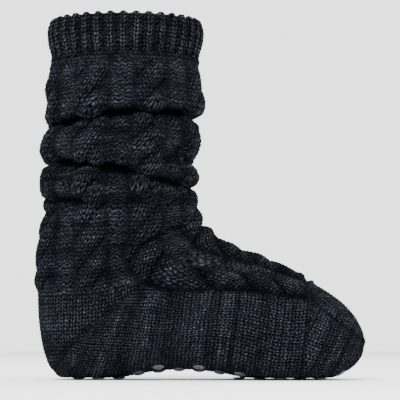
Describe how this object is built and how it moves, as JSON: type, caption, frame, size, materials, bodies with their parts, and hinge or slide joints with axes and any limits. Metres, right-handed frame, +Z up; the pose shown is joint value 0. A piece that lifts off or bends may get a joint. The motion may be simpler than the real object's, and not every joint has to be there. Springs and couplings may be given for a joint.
{
  "type": "slipper sock",
  "caption": "Tall slouching cable-knit slipper sock with a ribbed cuff, turned heel, linked toe and raised grip dots under the sole, standing empty.",
  "frame": {"origin": "centre of the footprint, at floor level under the grip dots", "axes": "+X towards the toe, +Y towards the wearer's left, +Z up the shaft"},
  "size_m": [0.2536, 0.1252, 0.2796],
  "materials": {
    "yarn": "matte fuzzy marled knit",
    "silicone": "satin moulded drops"
  },
  "bodies": {
    "root": {"sock_knit": "yarn", "grip_01": "silicone", "grip_02": "silicone", "grip_03": "silicone", "grip_04": "silicone", "grip_05": "silicone", "grip_06": "silicone", "grip_07": "silicone", "grip_08": "silicone", "grip_09": "silicone", "grip_10": "silicone", "grip_11": "silicone", "grip_12": "silicone", "grip_13": "silicone", "grip_14": "silicone", "grip_15": "silicone", "grip_16": "silicone", "grip_17": "silicone", "grip_18": "silicone", "grip_19": "silicone", "grip_20": "silicone", "grip_21": "silicone", "grip_22": "silicone", "grip_23": "silicone", "grip_24": "silicone", "grip_25": "silicone", "grip_26": "silicone", "grip_27": "silicone", "grip_28": "silicone", "grip_29": "silicone", "grip_30": "silicone", "grip_31": "silicone", "grip_32": "silicone", "grip_33": "silicone", "grip_34": "silicone", "grip_35": "silicone", "grip_36": "silicone", "grip_37": "silicone", "grip_38": "silicone", "grip_39": "silicone", "grip_40": "silicone", "grip_41": "silicone", "grip_42": "silicone", "grip_43": "silicone", "grip_44": "silicone", "grip_45": "silicone"}
  },
  "joints": []
}
